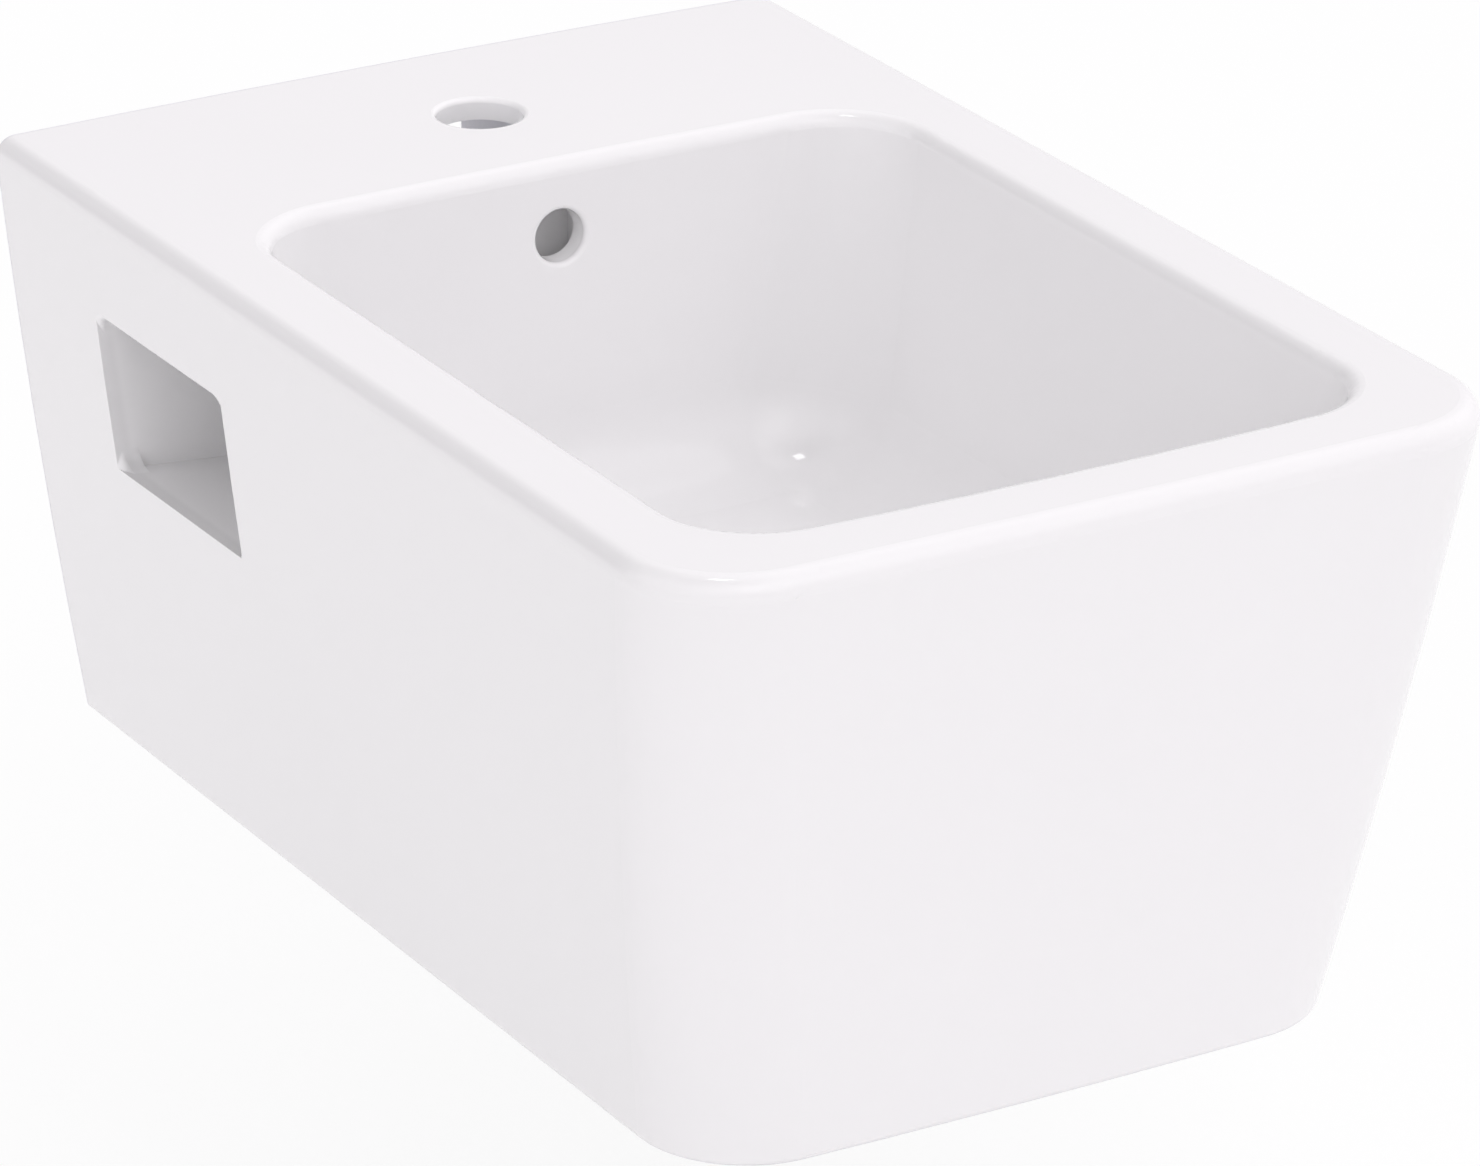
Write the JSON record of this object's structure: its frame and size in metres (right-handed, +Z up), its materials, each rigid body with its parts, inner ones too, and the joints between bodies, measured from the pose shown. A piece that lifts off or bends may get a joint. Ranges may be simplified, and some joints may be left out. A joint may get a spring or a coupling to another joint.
{
  "type": "wall-hung bidet",
  "caption": "Wall-hung bidet: tapered glazed casting with a deep rectangular bowl, tap hole, overflow, side windows to its wall fixings and a push-open waste.",
  "frame": {"origin": "midway between the two wall fixing studs, on the wall plane", "axes": "+X to the right seen from the front, +Y into the wall, +Z up"},
  "size_m": [0.3574, 0.5936, 0.2544],
  "materials": {
    "white_glaze": "gloss white glaze",
    "chrome_plate": "polished plating",
    "plain_brass": "turned",
    "black_rubber": "matt",
    "white_nylon": "moulded",
    "zinc_steel": "zinc plated",
    "spring_steel": "drawn wire"
  },
  "bodies": {
    "bidet": {"ceramic_body": "white_glaze", "waste_body": "chrome_plate", "waste_top_seal": "black_rubber", "waste_cone_seal": "black_rubber", "waste_slip_washer": "white_nylon", "waste_backnut": "plain_brass", "waste_tail": "chrome_plate", "tail_seal": "black_rubber", "cartridge_sleeve": "plain_brass", "cartridge_spring": "spring_steel", "retaining_ring": "spring_steel", "cartridge_base": "plain_brass", "fixing_stud_left": "zinc_steel", "fixing_bush_left": "white_nylon", "fixing_washer_left": "zinc_steel", "fixing_nut_left": "zinc_steel", "fixing_stud_right": "zinc_steel", "fixing_bush_right": "white_nylon", "fixing_washer_right": "zinc_steel", "fixing_nut_right": "zinc_steel"},
    "plug": {"plug_cap": "chrome_plate", "plug_seal": "black_rubber", "plug_stem": "plain_brass", "stem_lock_nut": "plain_brass"},
    "latch": {"index_ring": "white_nylon"}
  },
  "joints": [
    {"name": "plug_travel", "type": "slide", "parent": "bidet", "child": "plug", "axis": [0, 0, 1], "range_m": [0, 0.008], "deforming": ["cartridge_spring"]},
    {"name": "index_turn", "type": "hinge", "parent": "plug", "child": "latch", "pos_m": [0, -0.265, -0.085], "axis": [0, 0, 1], "range_deg": [0, 45]}
  ],
  "couplings": [
    {"joint": "index_turn", "follows": "plug_travel", "rad_per_m": 98}
  ]
}
